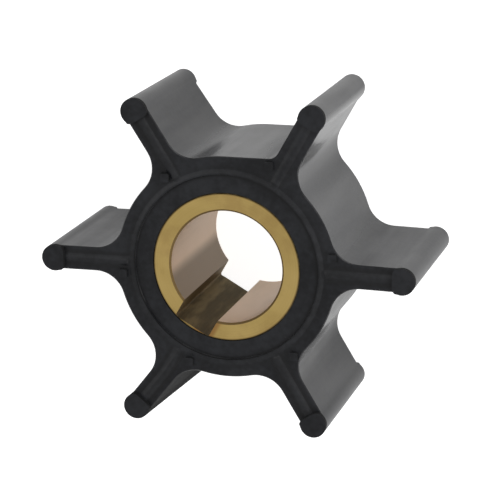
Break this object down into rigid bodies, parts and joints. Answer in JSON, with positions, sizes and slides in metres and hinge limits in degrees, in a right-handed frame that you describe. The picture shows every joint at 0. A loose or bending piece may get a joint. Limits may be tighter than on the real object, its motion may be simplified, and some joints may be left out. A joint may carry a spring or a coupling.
{
  "type": "pump impeller",
  "caption": "Flexible rubber pump impeller: straight round-tipped vanes on a hub moulded around a keyed brass bush.",
  "frame": {"origin": "on the bore axis, in the plane of the raised tip caps of the lower end, which the part rests on", "axes": "+Z along the bore axis towards the end that the picture shows; the keyway opens to -Y"},
  "size_m": [0.0354, 0.0402, 0.0175],
  "materials": {
    "black_rubber": "satin",
    "brass": "satin"
  },
  "bodies": {
    "root": {"rubber_impeller": "black_rubber", "brass_bush": "brass"}
  },
  "joints": []
}
